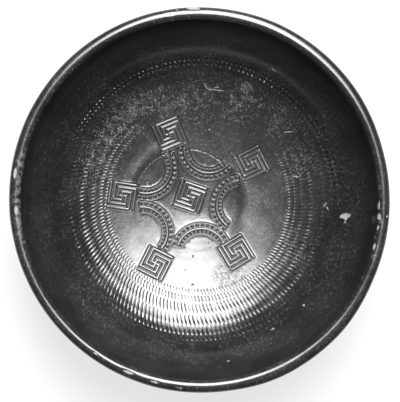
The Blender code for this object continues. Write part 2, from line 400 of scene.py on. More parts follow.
def arc_outside(x, y, stamp):
    reach, bearing = arc_frame(x, y, stamp)
    middle = ARC_RADIUS - ARC_WIDTH / 2
    across = np.abs(reach - middle) - (ARC_WIDTH / 2 - ARC_CORNER)
    along = (np.abs(bearing) - radians(ARC_SPAN) / 2) * middle + ARC_CORNER
    corner = np.hypot(np.maximum(across, 0.0), np.maximum(along, 0.0))
    return corner + np.minimum(np.maximum(across, along), 0.0) - ARC_CORNER


def bead_relief(reach, bearing, inset, size):
    row = ARC_RADIUS - inset
    pitch = radians(ARC_SPAN) / BEADS_PER_ROW
    index = np.clip(np.floor(bearing / pitch + BEADS_PER_ROW / 2), 0, BEADS_PER_ROW - 1)
    off = bearing - (index + 0.5 - BEADS_PER_ROW / 2) * pitch
    distance = np.hypot(reach - row, off * row) / size
    return np.clip(1.0 - distance**2, 0.0, 1.0) ** BEAD_ROUNDNESS


def arc_relief(x, y, stamp):
    reach, bearing = arc_frame(x, y, stamp)
    rib_end = radians(ARC_SPAN) / 2 - RIB_WIDTH / ARC_RADIUS
    past_end = np.maximum(np.abs(bearing) - rib_end, 0.0) * reach
    from_rib = np.hypot(reach - (ARC_RADIUS - RIB_INSET), past_end)
    relief = rounded_ridge(from_rib, RIB_WIDTH / 2)
    relief = np.maximum(relief, bead_relief(reach, bearing, OUTER_BEAD_INSET, OUTER_BEAD_RADIUS))
    return np.maximum(relief, bead_relief(reach, bearing, INNER_BEAD_INSET, INNER_BEAD_RADIUS))


def stroke_shear(radius):
    """Bearing, in radians, by which a slanted stroke has moved on at a radius."""
    return tan(radians(STROKE_SLANT)) * np.log(radius / FLOOR_EDGE)


def stroke_section(turn):
    """Cross-section of a row of strokes: 1 in the middle of each and 0 between them."""
    return np.clip(1.0 - np.abs(turn - np.rint(turn)) / STROKE_HALF_SHARE, 0.0, 1.0)


def rouletting(x, y):
    """Rows of short slanted strokes, faint where the floor is most worn and deep in the top's outer rows."""
    rng = np.random.default_rng(ROULETTE_SEED)
    radius = np.hypot(x, y)
    bearing = np.arctan2(y, x)
    degrees = np.degrees(bearing)
    height = np.zeros_like(x)
    worn = bearing_window(degrees, *ROULETTE_WORN)
    sharp = np.minimum(1.0, ROULETTE_SHARP_GAIN * bearing_window(degrees, *ROULETTE_SHARP))
    for row in ROULETTE_ROWS:
        inner, outer, end, wander, widest, phase, deep, at_top = row
        strength = rng.uniform(STROKE_WEAKEST, STROKE_STRONGEST, STROKES)
        shift = wander * np.cos(bearing - radians(widest))
        turn = (bearing - stroke_shear(radius)) * STROKES / (2.0 * pi) - phase / 6.0
        across = stroke_section(turn) * strength[np.rint(turn).astype(int) % STROKES]
        within = radius - shift
        along = smooth(inner, inner + end, within) * (1.0 - smooth(outer - end, outer, within))
        fade = 1.0 + at_top * (worn if at_top < 0.0 else sharp)
        if row == ROULETTE_ROWS[-1]:
            fade = fade * np.maximum(sharp, bearing_window(degrees, *OUTERMOST_ROW_REST))
        height -= STROKE_DEPTH * deep * across * along * fade
    return height


def banded(degrees, band):
    """Strength of a band given as bearing, half width and strength."""
    middle, half, strength = band
    return strength * bearing_window(degrees, middle, half)


def guide_circle(x, y):
    """Scratched circle, and a low swelling just outside it."""
    reach = np.hypot(x - CIRCLE_X, y - CIRCLE_Y)
    degrees = np.degrees(np.arctan2(y - CIRCLE_Y, x - CIRCLE_X))
    rough = waves(x, y, *CIRCLE_ROUGHNESS)
    strength = CIRCLE_LEAST + banded(degrees, CIRCLE_TOP)
    strength = np.maximum(strength, banded(degrees, CIRCLE_UPPER_LEFT))
    distance = (reach - CIRCLE_RADIUS - CIRCLE_WANDER * rough) / CIRCLE_WIDTH
    groove = -CIRCLE_DEPTH * np.exp(-(distance**2)) * strength * (1.0 + CIRCLE_RAGGEDNESS * rough)
    burr = BURR_SHARE * CIRCLE_DEPTH * np.exp(-((distance + BURR_OFFSET) ** 2)) * strength
    bands = np.zeros_like(x)
    for band in SWELL_BANDS:
        bands = np.maximum(bands, banded(degrees, band))
    width = np.where(reach < SWELL_RADIUS, SWELL_INNER_WIDTH, SWELL_OUTER_WIDTH)
    swell = SWELL_HEIGHT * np.exp(-(((reach - SWELL_RADIUS) / width) ** 2)) * bands
    return groove + burr + swell


def dished(x, y):
    """The floor's slightly dished middle, which the stamps follow."""
    return -DISH_DEPTH * np.exp(-(np.hypot(x, y) / DISH_RADIUS) ** 2)


def uneven(x, y):
    """The unevenness left by the potter's hand and by wear."""
    broad, small = (height * waves(x, y, *wave) for height, wave in FLOOR_UNEVENNESS)
    radius = np.hypot(x, y)
    drift = TURNING_RING_DRIFT * np.sin(radius / TURNING_RING_DRIFT_PITCH)
    rings = TURNING_RING_HEIGHT * np.sin(2.0 * pi * radius / TURNING_RING_PITCH + drift)
    return broad + small + rings


def floor_relief(x, y):
    """Heights of the floor, and how far each point stands up in its stamp: -1 in a groove, 1 on a crest."""
    height = uneven(x, y) + guide_circle(x, y) + rouletting(x, y)
    crest = np.zeros_like(x)
    stamps = [(stamp, arc_relief, arc_outside) for stamp in ARC_STAMPS.values()]
    stamps += [(stamp, square_relief, square_outside) for stamp in SQUARE_STAMPS.values()]
    for stamp, relief, outside in stamps:
        raised = relief(x, y, stamp)
        away = outside(x, y, stamp)
        height = pressed(height, away, raised)
        inside = 1.0 - smooth(-STAMP_EDGE, STAMP_EDGE, away)
        crest = crest * (1.0 - inside) + (2.0 * raised - 1.0) * inside
    return height + dished(x, y), crest


# Chips: bearing, plan radius, half length around, half width across, turn, depth
CHIPS = {
    "drop": (-6.4, 0.0672, 0.0019, 0.0027, 12.0, 0.00035),
    "drop_tip": (-8.6, 0.0668, 0.0011, 0.0012, 0.0, 0.00020),
    "wall_fleck": (-3.6, 0.0675, 0.0006, 0.0007, 0.0, 0.00010),
    "floor_dot": (-16.5, 0.0316, 0.0004, 0.0004, 0.0, 0.00008),
    "scrape": (-45.8, 0.0673, 0.0024, 0.0005, -28.0, 0.00010),
    "dash": (-85.4, 0.0729, 0.0005, 0.0007, 0.0, 0.00008),
    "rim_top": (91.8, 0.0846, 0.0031, 0.0008, 0.0, 0.00015),
    "rim_top_left": (96.6, 0.0845, 0.0008, 0.0005, 0.0, 0.00010),
    "rim_far_left": (100.6, 0.0846, 0.0010, 0.0004, 0.0, 0.00010),
    "nick": (98.9, 0.0830, 0.0006, 0.0006, 0.0, 0.00030),
    "nick_right": (96.4, 0.0828, 0.0004, 0.0006, 0.0, 0.00025),
    "lip_right_a": (-1.6, 0.0794, 0.0026, 0.0006, 0.0, 0.00025),
    "lip_right_b": (-5.3, 0.0797, 0.0017, 0.0009, 0.0, 0.00030),
    "lip_right_c": (-8.7, 0.0799, 0.0013, 0.0006, 0.0, 0.00020),
    "lip_right_d": (-15.0, 0.0799, 0.0017, 0.0006, 0.0, 0.00025),
    "lip_outer_fleck": (-5.0, 0.0832, 0.0008, 0.0007, 0.0, 0.00012),
    "lip_left_a": (172.0, 0.0822, 0.0030, 0.0008, 0.0, 0.00010),
    "lip_left_b": (183.0, 0.0812, 0.0022, 0.0009, 0.0, 0.00010),
    "lip_low_a": (235.8, 0.0818, 0.0014, 0.0006, 0.0, 0.00020),
    "lip_low_b": (247.5, 0.0822, 0.0030, 0.0009, 4.0, 0.00030),
    "lip_low_c": (256.0, 0.0828, 0.0020, 0.0006, 0.0, 0.00020),
    "lip_low_d": (264.0, 0.0835, 0.0012, 0.0006, 0.0, 0.00020),
    "lip_low_e": (269.6, 0.0829, 0.0008, 0.0006, 0.0, 0.00020),
}

# A chip's level is 1 in its middle and 0 at its edge, down to 1 less its reach; it sinks between two levels
CHIP_REACH = 2.0
CHIP_SINK = (-0.1, 0.5)

# Chips and scuffs stay off the outside: how far a chipped face may point down, and how far below the inside
# surface their marks reach
CHIPPED_TILT = -0.3
MARKED_DEPTH = 0.0018

# Places where the gloss is scuffed: x, y, radius, strength
SCUFFS = (
    (-0.040, 0.036, 0.015, 1.00),
    (-0.022, 0.046, 0.012, 0.95),
    (-0.002, 0.046, 0.011, 0.80),
    (0.020, 0.047, 0.011, 0.90),
    (0.036, 0.036, 0.010, 0.50),
    (-0.048, 0.016, 0.012, 0.75),
    (-0.047, -0.034, 0.013, 0.45),
    (0.046, 0.018, 0.012, 0.45),
    (0.045, -0.022, 0.013, 0.40),
    (0.014, -0.034, 0.008, 0.75),
    (-0.005, -0.040, 0.007, 0.50),
)
SCUFF_LEAST = 0.15
SCUFF_EDGE = 0.054
SCUFF_FADE = 0.006

# Wear of the lip's gloss, on top of the least: bearing, half width in degrees, amount
LIP_WEAR_LEAST = 0.12
LIP_WEAR = ((180.0, 16.0, 0.50), (-8.0, 16.0, 0.25), (250.0, 20.0, 0.14), (135.0, 30.0, 0.14))
LIP_WEAR_BELOW = 0.0012
LIP_WEAR_ABOVE = 0.0010
LIP_EDGE_INSET = 0.0010
LIP_EDGE_WIDTH = 0.0011
LIP_EDGE_SHARE = 0.45

# Single scratches: x, y, turn, half length, half width
SCRATCHES = (
    (-0.02345, 0.0067, 95.0, 0.0009, 0.00025),
    (0.0579, -0.0022, 60.0, 0.0011, 0.00020),
    (0.0590, -0.0038, 115.0, 0.0012, 0.00020),
    (0.0342, 0.0591, -38.0, 0.0015, 0.00022),
    (0.0412, 0.0313, 5.0, 0.0020, 0.00022),
    (0.0032, 0.0522, -60.0, 0.0015, 0.00020),
    (0.0065, 0.0506, -5.0, 0.0026, 0.00020),
    (0.0100, 0.0502, -8.0, 0.0020, 0.00020),
    (0.0080, 0.0516, 12.0, 0.0016, 0.00018),
    (0.0448, 0.0108, -10.0, 0.0012, 0.00035),
    (0.0050, 0.0323, 0.0, 0.0004, 0.00030),
    (0.0131, -0.0728, 10.0, 0.0007, 0.00030),
    (0.0337, -0.0588, 30.0, 0.0008, 0.00035),
)

# Clusters of fine pale specks: x, y, radius
CLUSTERS = (
    (-0.0078, 0.0453, 0.0026),
    (0.0218, 0.0514, 0.0028),
    (-0.0300, 0.0410, 0.0030),
    (-0.0410, 0.0270, 0.0024),
)

# Small dark spots: x, y, turn, half length, half width
DARK_SPOTS = (
    (-0.0235, 0.0084, 0.0, 0.00050, 0.00045),
    (0.0047, -0.0199, 100.0, 0.00050, 0.00022),
    (0.0054, -0.0220, 60.0, 0.00045, 0.00020),
    (-0.0027, -0.0390, 20.0, 0.00060, 0.00030),
    (-0.0059, -0.0323, 0.0, 0.00040, 0.00025),
    (-0.0025, -0.0259, 45.0, 0.00070, 0.00016),
    (-0.0025, -0.0259, -45.0, 0.00070, 0.00016),
)
MARK_REACH = 0.004
MATT_PATCH = (0.0150, -0.0330, 35.0, 0.0100, 0.0070)


def chip_level(x, y):
    """How deep inside a chip a point is: above 0 inside, and falling away outside."""
    level = np.full_like(x, 1.0 - CHIP_REACH)
    depth = np.zeros_like(x)
    for bearing, radius, along, across, turn, deep in CHIPS.values():
        out, around = local_frame(x, y, *plan_point(radius, radians(bearing)), bearing + turn)
        inside = 1.0 - np.hypot(around / along, out / across)
        level = np.maximum(level, inside)
        depth = np.maximum(depth, deep * smooth(*CHIP_SINK, inside))
    return level, depth


def scuff_level(x, y):
    """How scuffed the gloss is: clustered on the floor and fading at the foot of the wall."""
    level = np.zeros_like(x)
    for centre_x, centre_y, size, strength in SCUFFS:
        distance = np.hypot(x - centre_x, y - centre_y) / size
        level = np.maximum(level, strength * np.exp(-(distance**2)))
    floor = 1.0 - smooth(SCUFF_EDGE, SCUFF_EDGE + SCUFF_FADE, np.hypot(x, y))
    return np.maximum(level * floor, SCUFF_LEAST)


def lip_wear(x, y, height):
    """Wear of the gloss along the lip, strongest on the left and along the inner edge."""
    radius = np.hypot(x, y)
    degrees = np.degrees(np.arctan2(y, x))
    high = smooth(LIP_LEVEL - LIP_WEAR_BELOW, LIP_LEVEL + LIP_WEAR_ABOVE, height)
    amount = LIP_WEAR_LEAST + sum(banded(degrees, band) for band in LIP_WEAR)
    inner_edge = np.exp(-(((radius - INNER_RADIUS - LIP_EDGE_INSET) / LIP_EDGE_WIDTH) ** 2))
    return high * amount * (1.0 - LIP_EDGE_SHARE + LIP_EDGE_SHARE * inner_edge)


# Mesh


def placed(name, data):
    """A new object in the scene."""
    made = bpy.data.objects.new(name, data)
    bpy.context.scene.collection.objects.link(made)
    return made


class Skin:
    """The bowl's mesh while it grows outwards from the middle of the floor."""

    def __init__(self):
        self.places = []
        self.crests = []
        self.normals = []
        self.faces = []
        self.count = 0

    def add(self, places, crest=None, normals=None):
        """Add points; those with no normals of their own take the mesh's."""
        self.places.append(places)
        self.crests.append(np.zeros(len(places)) if crest is None else crest)
        self.normals.append(np.zeros_like(places) if normals is None else normals)
        start = self.count
        self.count += len(places)
        return np.arange(start, self.count)

    def band(self, inner, outer):
        """Join two rings; the second may have as many points as the first, a half or a third of them."""
        share = len(inner) // len(outer)
        following = np.roll(outer, -1)
        fan = [inner[step::share] for step in range(share)] + [np.roll(inner[0::share], -1)]
        if share == 1:
            self.faces += np.stack((inner, outer, following, fan[1]), axis=1).tolist()
            return
        turn = (share + 1) // 2
        for step in range(share):
            pivot = outer if step < turn else following
            self.faces += np.stack((fan[step], pivot, fan[step + 1]), axis=1).tolist()
        self.faces += np.stack((fan[turn], outer, following), axis=1).tolist()


def on_inside(x, y, relief):
    """Points of the inside surface over plan points, raised along its normal by the relief."""
    radius = np.hypot(x, y)
    bearing = np.arctan2(y, x)
    slope = inner_slope(radius)
    stretch = np.sqrt(1.0 + slope**2)
    reach = warped(radius, bearing) - relief * slope / stretch
    return np.stack((*plan_point(reach, bearing), inner_height(radius) + relief / stretch), axis=1)


def inside_relief(x, y):
    return floor_relief(x, y)[0] - chip_level(x, y)[1]


def inside_normals(x, y):
    """True normals of the relief, which the mesh's own faces only come near."""

    def surface(dx, dy):
        return on_inside(x + dx, y + dy, inside_relief(x + dx, y + dy))

    across = surface(NORMAL_STEP, 0.0) - surface(-NORMAL_STEP, 0.0)
    along = surface(0.0, NORMAL_STEP) - surface(0.0, -NORMAL_STEP)
    normals = np.cross(across, along)
    return normals / np.linalg.norm(normals, axis=1)[:, None]


def square_lattice(stamp):
    """Points of a square's own grid, with lines at the crown, shoulder and foot of each ridge."""
    half = MEANDER_RIDGE / 2
    lines = set()
    for step in range(-MEANDER_CELLS // 2, MEANDER_CELLS // 2 + 1):
        for off in (0.0, half - RIDGE_SHOULDER, half + RIDGE_FOOT):
            lines.update((step * MEANDER_PITCH + off, step * MEANDER_PITCH - off))
    for step in range(MEANDER_CELLS):
        lines.add((step + 0.5 - MEANDER_CELLS / 2) * MEANDER_PITCH)
    for off in SQUARE_EDGE_LINES:
        lines.update((SQUARE_HALF + off, -SQUARE_HALF - off))
    lines = np.array(sorted(lines))
    u, v = (grid.ravel() for grid in np.meshgrid(lines, lines))
    angle = radians(stamp[2])
    return stamp[0] + u * cos(angle) - v * sin(angle), stamp[1] + u * sin(angle) + v * cos(angle)


def arc_lattice(stamp):
    """Points of an arc's own grid: lines along the band, and several across it to each bead."""
    insets = list(ARC_CONVEX_LINES)
    for inset, size in ((OUTER_BEAD_INSET, OUTER_BEAD_RADIUS), (INNER_BEAD_INSET, INNER_BEAD_RADIUS)):
        insets += [inset + share * size for share in BEAD_LINES]
    insets += [RIB_INSET + off for off in RIB_LINES]
    insets += [ARC_WIDTH + off for off in ARC_CONCAVE_LINES]
    pitch = radians(ARC_SPAN) / BEADS_PER_ROW
    steps = (np.arange(BEAD_DIVISIONS * BEADS_PER_ROW) + 0.5) / BEAD_DIVISIONS
    bearings = (steps - BEADS_PER_ROW / 2) * pitch
    ends = radians(ARC_SPAN) / 2 + np.array(ARC_END_LINES) / (ARC_RADIUS - ARC_WIDTH / 2)
    bearings = np.concatenate((-ends, bearings, ends))
    reach, bearing = (grid.ravel() for grid in np.meshgrid(ARC_RADIUS - np.array(insets), bearings))
    x, y = plan_point(reach, bearing + radians(stamp[2]))
    return stamp[0] + x, stamp[1] + y


def floor_points():
    """Plan points of the floor, densest in the stamps; the ring at its edge comes first."""
    turns = full_turn(FINE_DIVISIONS)
    edge = plan_point(FLOOR_EDGE, turns)
    xs = [edge[0]]
    ys = [edge[1]]
    stamps = list(ARC_STAMPS.values()) + list(SQUARE_STAMPS.values())
    arcs = len(ARC_STAMPS)

    def keep(x, y, later, gap):
        """Add the points that are clear of the floor's edge and of the stamps from number later on."""
        free = np.hypot(x, y) < FLOOR_EDGE - EDGE_GAP
        for index in range(later, len(stamps)):
            outside = arc_outside if index < arcs else square_outside
            free &= outside(x, y, stamps[index]) > gap
        xs.append(x[free])
        ys.append(y[free])

    for index, stamp in enumerate(stamps):
        lattice = arc_lattice if index < arcs else square_lattice
        keep(*lattice(stamp), index + 1, STAMP_GAP)
    for radius, _, _ in stroke_rings(ROULETTE_ROWS[0]):
        keep(*plan_point(radius, turns + stroke_shear(radius)), 0, RING_GAP)
    for off in CIRCLE_LINES:
        x, y = plan_point(CIRCLE_RADIUS + off, full_turn(CIRCLE_DIVISIONS))
        keep(CIRCLE_X + x, CIRCLE_Y + y, 0, RING_GAP)
    rows = np.arange(-FLOOR_EDGE, FLOOR_EDGE, FILL_STEP * sin(pi / 3))
    for number, row in enumerate(rows):
        x = np.arange(-FLOOR_EDGE, FLOOR_EDGE, FILL_STEP) + (number % 2) * FILL_STEP / 2
        y = np.full_like(x, row)
        near_circle = np.abs(np.hypot(x - CIRCLE_X, y - CIRCLE_Y) - CIRCLE_RADIUS) < CIRCLE_GAP
        clear = (np.hypot(x, y) < FILL_RADIUS) & ~near_circle
        keep(x[clear], y[clear], 0, FILL_GAP)
    return np.concatenate(xs), np.concatenate(ys)


def add_floor(skin):
    """The stamped floor as a triangulation; gives back the ring at its edge."""
    x, y = floor_points()
    spots = [Vector(spot) for spot in np.stack((x, y), axis=1)]
    _, _, faces, origins, _, _ = delaunay_2d_cdt(spots, [], [], 0, MERGE_DISTANCE)
    source = np.array([origin[0] for origin in origins])
    height, crest = floor_relief(x, y)
    indices = skin.add(on_inside(x, y, height), crest, inside_normals(x, y))
    triangles = source[np.array(faces)]
    right = x[triangles] - x[triangles[:, :1]]
    up = y[triangles] - y[triangles[:, :1]]
    turned = right[:, 1] * up[:, 2] < right[:, 2] * up[:, 1]
    triangles[turned] = triangles[turned][:, ::-1]
    skin.faces += indices[triangles].tolist()
    return indices[:FINE_DIVISIONS]


def stroke_rings(row):
    """Radius, wander and widest bearing of five rings through a row: two at each end and one between."""
    inner, outer, end, wander, widest = row[:5]
    inner_end = [inner + 0.25 * end, inner + 0.75 * end]
    outer_end = [outer - 0.75 * end, outer - 0.25 * end]
    return [(radius, wander, widest) for radius in inner_end + [(inner + outer) / 2] + outer_end]


def add_rouletted_band(skin, ring):
    """The rows of strokes outside the floor, on a grid that slants and wanders with them."""
    turns = full_turn(FINE_DIVISIONS)
    rings = [place for row in ROULETTE_ROWS[1:] for place in stroke_rings(row)]
    rings.append((BAND_EDGE, 0.0, 0.0))
    for middle, wander, widest in rings:
        bearing = turns + stroke_shear(middle)
        x, y = plan_point(middle + wander * np.cos(bearing - radians(widest)), bearing)
        following = skin.add(on_inside(x, y, inside_relief(x, y)), normals=inside_normals(x, y))
        skin.band(ring, following)
        ring = following
    return ring


def ring_places(profile_point, normal, bearing):
    """One ring of the wall, lip or outside; above the foot it is uneven, with its chips sunk in."""
    radius, height = profile_point
    reach = warped(radius, bearing)
    if normal[0] > 0.0:
        reach = reach + bulged(radius, height, bearing)
    x, y = plan_point(reach, bearing)
    push = np.zeros_like(x)
    if height >= FLOOR_LEVEL:
        push += sum(size * (waves(x, y, *wave) - WALL_SINK) for size, wave in WALL_UNEVENNESS)
    if height > FLOOR_LEVEL and normal[1] > CHIPPED_TILT:
        push -= chip_level(x, y)[1]
    return np.stack((*plan_point(reach + normal[0] * push, bearing), height + normal[1] * push), axis=1)


def even_steps(start, end, count):
    return [start + (end - start) * step / count for step in range(count + 1)]


def lip_profile():
    """Profile points round the lip, from its inner edge to its outer one."""
    crown = INNER_RADIUS + LIP_CROWN_INSET
    points = []
    for step in range(1, LIP_STEPS):
        angle = pi - pi * step / LIP_STEPS
        reach = OUTER_RADIUS - crown if angle < pi / 2 else crown - INNER_RADIUS
        points.append((crown + reach * cos(angle), LIP_LEVEL + LIP_HEIGHT * sin(angle)))
    return points


def foot_profile(neck):
    """Profile points from the neck of the foot to near the middle of the underside."""
    rest_inner = FOOT_RADIUS - FOOT_CHAMFER - FOOT_REST_WIDTH
    recess_edge = rest_inner - FOOT_CHAMFER
    recess_top = recess_edge - RECESS_LEAN
    points = []
    for share in (0.12, 0.5, 0.9):
        radius = neck[0] + (FOOT_RADIUS - neck[0]) * share
        points.append((radius, neck[1] + (FOOT_CHAMFER - neck[1]) * share))
    for turn in QUARTER_BENDS:
        points.append((FOOT_RADIUS - FOOT_CHAMFER * (1.0 - cos(turn)), FOOT_CHAMFER * (1.0 - sin(turn))))
    points.append((rest_inner, 0.0))
    for turn in QUARTER_BENDS[1:]:
        points.append((recess_edge + FOOT_CHAMFER * (1.0 - sin(turn)), FOOT_CHAMFER * (1.0 - cos(turn))))
    for turn in QUARTER_BENDS:
        radius = recess_top - RECESS_FILLET * (1.0 - cos(turn))
        points.append((radius, FOOT_RECESS - RECESS_FILLET * (1.0 - sin(turn))))
    for share, sag in UNDERSIDE_SAG:
        points.append((recess_top * share, FOOT_RECESS - UNDERSIDE_DROP * sag))
    return points


def wall_and_outside_profile():
    """Profile points from the rouletted band to near the middle of the underside, with divisions."""
    start = float(turn_at(BAND_EDGE))
    foot_turn = turn_at_foot(FOOT_RADIUS - FOOT_LEAN)
    inside = [inner_point(turn) for turn in even_steps(start, pi / 2, WALL_STEPS)[1:]]
    outside = [outer_point(turn) for turn in even_steps(pi / 2, foot_turn, OUTSIDE_STEPS)]
    fine = [(*point, FINE_DIVISIONS // 3) for point in inside + lip_profile()]
    return fine + [(*point, FINE_DIVISIONS // 6) for point in outside + foot_profile(outside[-1])]


def add_wall_and_outside(skin, ring):
    """Wall, lip, outside, foot and underside, closed by a fan in the middle."""
    profile = wall_and_outside_profile()
    turns = full_turn(FINE_DIVISIONS) + stroke_shear(BAND_EDGE)
    previous = (BAND_EDGE, float(inner_height(np.array(BAND_EDGE))))
    for index, (radius, height, divisions) in enumerate(profile):
        after = profile[min(index + 1, len(profile) - 1)]
        along = (after[0] - previous[0], after[1] - previous[1])
        length = hypot(*along)
        normal = (-along[1] / length, along[0] / length)
        bearing = turns[:: FINE_DIVISIONS // divisions]
        following = skin.add(ring_places((radius, height), normal, bearing))
        skin.band(ring, following)
        ring = following
        previous = (radius, height)
    centre = skin.add(np.array([[0.0, 0.0, FOOT_RECESS - UNDERSIDE_DROP]]))[0]
    skin.faces += [[int(a), int(centre), int(b)] for a, b in zip(ring, np.roll(ring, -1))]


def set_normals(data, normals):
    """Give the relief its true normals, and the other points the mesh's own."""
    own = np.array([vertex.vector for vertex in data.vertex_normals])
    plain = np.linalg.norm(normals, axis=1) < 0.5
    normals[plain] = own[plain]
    data.normals_split_custom_set_from_vertices(normals.tolist())


def add_marks(data, places, crests):
    """Point attributes that the material reads; chips and scuffs stay off the outside."""
    x, y, height = places.T
    upper_side = height > inner_height(np.hypot(x, y)) - MARKED_DEPTH
    marks = {
        "chip": np.where(upper_side, chip_level(x, y)[0], 1.0 - CHIP_REACH),
        "scuff": np.where(upper_side, scuff_level(x, y), SCUFF_LEAST),
        "lip_wear": lip_wear(x, y, height),
        "crest": crests,
    }
    for name, values in marks.items():
        layer = data.attributes.new(name, "FLOAT", "POINT")
        layer.data.foreach_set("value", values.astype(np.float32))


def make_bowl():
    skin = Skin()
    ring = add_floor(skin)
    ring = add_rouletted_band(skin, ring)
    add_wall_and_outside(skin, ring)
    places = np.concatenate(skin.places)
    data = bpy.data.meshes.new("stamped_bowl")
    data.from_pydata(places.tolist(), [], skin.faces)
    data.shade_smooth()
    data.update()
    set_normals(data, np.concatenate(skin.normals))
    add_marks(data, places, np.concatenate(skin.crests))
    data.materials.append(black_gloss())
    bowl = placed("stamped_bowl", data)
    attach(bowl, "root")
    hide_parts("bowl")


# Materials

# Greys of the gloss where it is thick and thin, of a painted highlight on a stamp's crests and of painted
# shade with dirt in its grooves, and of the clay under it
GLOSS_DEEP = 0.0045
GLOSS_THIN = 0.0080
CREST_PAINTED_HIGHLIGHT_GREY = 0.034
GROOVE_PAINTED_SHADE_AND_DIRT_GREY = 0.002
CLAY_GREY = 0.15
CLAY_WARMTH = 0.02
DARK_SPOT_GREY = 0.003

# What wears the gloss, lowest layer first: mask, cover, grey
HAZE_LAYER = ("haze", 0.40, 0.020)
WORN_LAYERS = (
    ("flecks", 0.90, 0.260),
    ("specks", 0.80, 0.120),
    ("rubbed", 0.80, 0.070),
    ("scratches", 0.85, 0.240),
)

# Shine of the gloss, and what each mask adds to its roughness, sets it to at least, or sinks below it
GLOSS_ROUGHNESS = (0.17, 0.22)
GLOSS_IOR = 1.52
ROUGHER = (("haze", 0.18), ("flecks", 0.20), ("rubbed", 0.22), ("matt", 0.20))
ROUGH_AT_LEAST = (("clay", 0.80), ("dark", 0.90))
SUNK = (("flecks", 0.5), ("clay", 1.2), ("dark", 3.0))
BUMP_DEPTH = 0.00006

# Scales of the noises, in features to a metre; hairlines have a width too, and wavering a reach
BROAD_SCALE = 60.0
MEDIUM_SCALE = 420.0
FINE_SCALE = 1900.0
HAIRLINES = ((420.0, 0.026), (820.0, 0.042))
SPECK_SCALE = 620.0
SPECK_CHANCE = 1.45
MOTTLE_SCALE = 900.0
WAVER_SCALE = 700.0
WAVER_REACH = 0.0010


class Nodes:
    """Short forms for building a material's node tree."""

    def __init__(self, name):
        self.material = bpy.data.materials.new(name)
        self.material.use_nodes = True
        self.tree = self.material.node_tree
        self.shader = self.tree.nodes["Principled BSDF"]

    def add(self, kind, inputs=None, **settings):
        node = self.tree.nodes.new(kind)
        for name, value in settings.items():
            setattr(node, name, value)
        for name, value in (inputs or {}).items():
            self.feed(node.inputs[name], value)
        return node

    def feed(self, socket, value):
        if isinstance(value, bpy.types.NodeSocket):
            self.tree.links.new(value, socket)
        else:
            socket.default_value = value

    def math(self, operation, first, second=0.0):
        return self.add("ShaderNodeMath", {0: first, 1: second}, operation=operation).outputs[0]

    def times(self, first, second):
        return self.math("MULTIPLY", first, second)

    def plus(self, first, second):
        return self.math("ADD", first, second)

    def larger(self, first, second):
        return self.math("MAXIMUM", first, second)

    def ramp(self, value, low, high, start=0.0, end=1.0):
        """A value's range from low to high, turned into start to end with soft ends."""
        inputs = {"Value": value, "From Min": low, "From Max": high, "To Min": start, "To Max": end}
        return self.add("ShaderNodeMapRange", inputs, interpolation_type="SMOOTHSTEP").outputs[0]

    def noise(self, vector, scale, detail=2.0):
        inputs = {"Vector": vector, "Scale": scale, "Detail": detail}
        return self.add("ShaderNodeTexNoise", inputs).outputs["Fac"]

    def attribute(self, name):
        return self.add("ShaderNodeAttribute", attribute_name=name).outputs["Fac"]

    def mix(self, share, first, second):
        node = self.add("ShaderNodeMix", data_type="RGBA")
        self.feed(node.inputs["Factor"], share)
        self.feed(node.inputs["A"], first)
        self.feed(node.inputs["B"], second)
        return node.outputs["Result"]


def grey(level, warmth=0.0):
    return (level * (1.0 + warmth), level, level * (1.0 - warmth), 1.0)


def hairlines(nodes, place, scale, width):
    """Fine wandering scratches, as a mask: thin level lines of a noise, broken up by another."""
    wander = nodes.noise(place, scale, 1.5)
    line = nodes.ramp(nodes.math("ABSOLUTE", nodes.math("SUBTRACT", wander, 0.5)), 0.0, width, 1.0, 0.0)
    return nodes.times(line, nodes.ramp(nodes.noise(place, scale * 1.7, 1.0), 0.50, 0.60))


def spot(nodes, place, x, y, turn, half_length, half_width):
    """A soft-edged oval on the inside of the bowl, as a mask."""
    height = float(inner_height(np.array(hypot(x, y))))
    inputs = {
        "Vector": place,
        "Location": (x, y, height),
        "Rotation": (0.0, 0.0, radians(turn)),
        "Scale": (half_length, half_width, MARK_REACH),
    }
    local = nodes.add("ShaderNodeMapping", inputs, vector_type="TEXTURE").outputs["Vector"]
    distance = nodes.add("ShaderNodeVectorMath", {0: local}, operation="LENGTH").outputs["Value"]
    return nodes.ramp(distance, 0.6, 1.3, 1.0, 0.0)


def spots(nodes, place, shapes):
    """Several such ovals as one mask."""
    total = spot(nodes, place, *shapes[0])
    for shape in shapes[1:]:
        total = nodes.larger(total, spot(nodes, place, *shape))
    return total


def wavering(nodes, place, scale, reach):
    """Places moved about by a noise, so that what is drawn there has an unsteady edge."""
    noise = nodes.add("ShaderNodeTexNoise", {"Vector": place, "Scale": scale}).outputs["Color"]
    off = nodes.add("ShaderNodeVectorMath", {0: noise, 1: (0.5, 0.5, 0.5)}, operation="SUBTRACT").outputs[0]
    off = nodes.add("ShaderNodeVectorMath", {0: off, "Scale": reach}, operation="SCALE").outputs[0]
    return nodes.add("ShaderNodeVectorMath", {0: place, 1: off}, operation="ADD").outputs[0]


def around(nodes, value, spread):
    """A noise value centred on zero and stretched to a spread."""
    return nodes.times(nodes.math("SUBTRACT", value, 0.5), spread)


